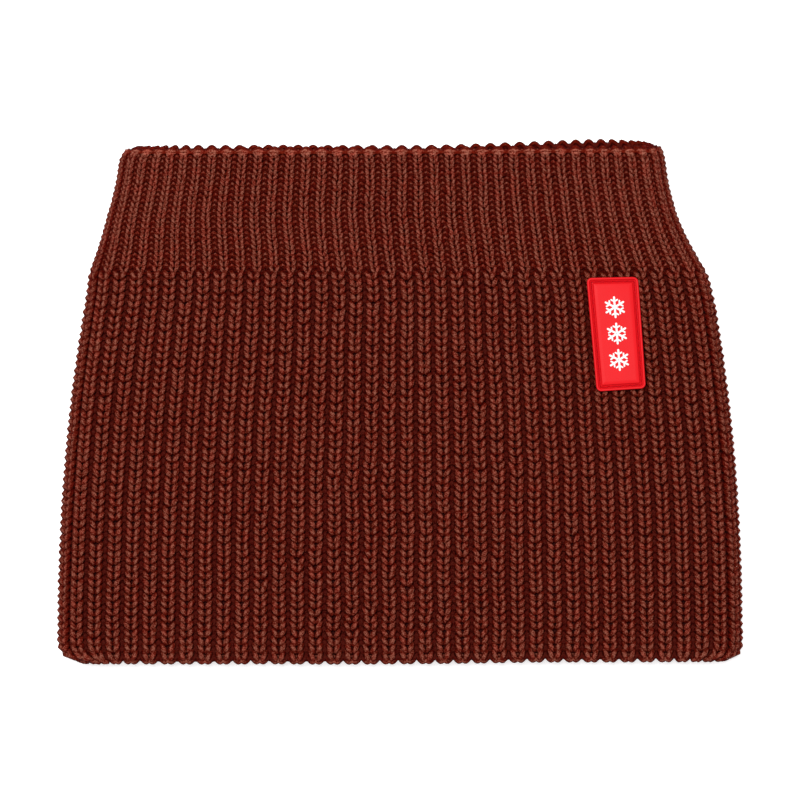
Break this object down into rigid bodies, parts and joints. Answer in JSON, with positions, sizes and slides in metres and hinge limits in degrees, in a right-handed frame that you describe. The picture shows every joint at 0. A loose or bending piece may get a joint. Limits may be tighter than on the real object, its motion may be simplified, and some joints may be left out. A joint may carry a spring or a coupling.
{
  "type": "neck gaiter",
  "caption": "Knitted pull-on neck gaiter, flared from a ribbed neck band to a wide body, with a fleece lining and a moulded rubber label, lying flat.",
  "frame": {"origin": "under the middle of the whole gaiter's box, on the surface that it lies on", "axes": "+X across the gaiter to the right as worn label side, +Y from the hem to the neck, +Z out of the front"},
  "size_m": [0.2512, 0.1922, 0.0214],
  "materials": {
    "body_yarn": "plump two-ply rust-brown yarn in a half-cardigan rib, matt with a soft sheen",
    "neck_yarn": "the same rust-brown yarn in a tight one-by-one rib",
    "edge_yarn": "the same yarn in the starting and cast-off rows, a little lighter",
    "seam_thread": "fine matt linking thread, dark rust",
    "fleece": "short brushed polar fleece, matt",
    "label_rubber": "soft moulded rubber, satin, bright red",
    "label_stitch": "red polyester sewing thread",
    "label_motif": "raised white moulded rubber, satin",
    "care_satin": "blank white woven satin"
  },
  "bodies": {
    "root": {"body_knit_front": "body_yarn", "body_knit_back": "body_yarn", "neck_rib_front": "neck_yarn", "neck_rib_back": "neck_yarn", "hem_edge_front": "edge_yarn", "hem_edge_back": "edge_yarn", "neck_edge_front": "edge_yarn", "neck_edge_back": "edge_yarn", "side_seam_left": "seam_thread", "side_seam_right": "seam_thread", "lining_front": "fleece", "lining_back": "fleece", "lining_seam_left": "seam_thread", "lining_seam_right": "seam_thread", "hem_join_front": "seam_thread", "hem_join_back": "seam_thread", "neck_join_front": "seam_thread", "neck_join_back": "seam_thread", "label_base": "label_rubber", "label_thread": "label_stitch", "label_snowflake_1": "label_motif", "label_snowflake_2": "label_motif", "label_snowflake_3": "label_motif", "care_label": "care_satin"}
  },
  "joints": []
}
